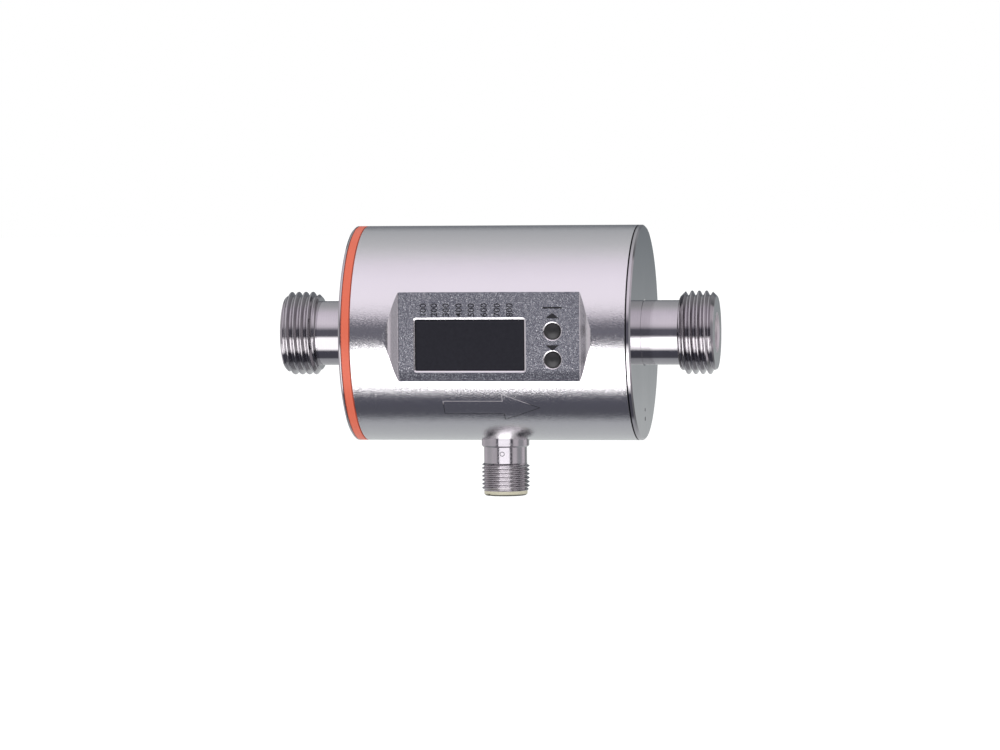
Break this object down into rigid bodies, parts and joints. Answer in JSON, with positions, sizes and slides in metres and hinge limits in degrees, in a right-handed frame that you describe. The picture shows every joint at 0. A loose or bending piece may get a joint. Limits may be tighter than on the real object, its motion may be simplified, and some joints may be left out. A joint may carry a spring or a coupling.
{
  "type": "electromagnetic flow meter",
  "caption": "Compact inline flow meter: a round steel can on a flow tube, with a pressed display panel, push buttons, pipe-threaded stubs and a round cable connector.",
  "frame": {"origin": "on the flow bore's axis, midway between the two sealing faces", "axes": "+X along the flow, from inlet to outlet; -Y out of the display panel; the cable connector points along -Z"},
  "size_m": [0.1096, 0.054, 0.0679],
  "materials": {
    "satin_steel": "fine bead-blasted satin",
    "polished_steel": "turned and polished",
    "orange_plastic": "matt moulded",
    "window_plastic": "dark tinted, glossy",
    "button_plastic": "soft satin",
    "seal_rubber": "matt",
    "liner_plastic": "machined natural plastic",
    "insert_plastic": "moulded, cream",
    "carrier_plastic": "moulded, black",
    "module_plastic": "moulded, black",
    "circuit_board": "solder mask",
    "cable_film": "amber film",
    "soft_iron": "plain",
    "copper_wire": "enamelled copper",
    "contact_brass": "gold plated"
  },
  "bodies": {
    "housing": {"housing_sleeve": "satin_steel", "insulating_ring": "orange_plastic", "inlet_end_plate": "polished_steel", "outlet_end_plate": "polished_steel", "inlet_fitting": "polished_steel", "outlet_fitting": "polished_steel", "ring_seal": "seal_rubber", "inlet_plate_seal": "seal_rubber", "outlet_plate_seal": "seal_rubber", "measuring_tube": "liner_plastic", "tube_seals": "seal_rubber", "front_electrode": "polished_steel", "rear_electrode": "polished_steel", "electrode_seals": "seal_rubber", "electrode_nuts": "polished_steel", "temperature_probe": "polished_steel", "upper_pole_core": "soft_iron", "lower_pole_core": "soft_iron", "upper_bobbin": "carrier_plastic", "lower_bobbin": "carrier_plastic", "upper_coil": "copper_wire", "lower_coil": "copper_wire", "magnet_yoke": "soft_iron", "front_carrier": "carrier_plastic", "rear_carrier": "carrier_plastic", "display_board": "circuit_board", "main_board": "circuit_board", "board_screws": "polished_steel", "display_cable": "cable_film", "display_module": "module_plastic", "mode_switch": "module_plastic", "set_switch": "module_plastic", "display_window": "window_plastic", "window_gasket": "seal_rubber", "connector_shell": "polished_steel", "connector_insert": "insert_plastic", "contact_pins": "contact_brass", "connector_seal": "seal_rubber"},
    "mode_button": {"mode_button": "button_plastic"},
    "set_button": {"set_button": "button_plastic"}
  },
  "joints": [
    {"name": "mode_button_press", "type": "slide", "parent": "housing", "child": "mode_button", "axis": [0, 1, 0], "range_m": [0, 0.0005], "stiffness_N_per_m": 600},
    {"name": "set_button_press", "type": "slide", "parent": "housing", "child": "set_button", "axis": [0, 1, 0], "range_m": [0, 0.0005], "stiffness_N_per_m": 600}
  ]
}
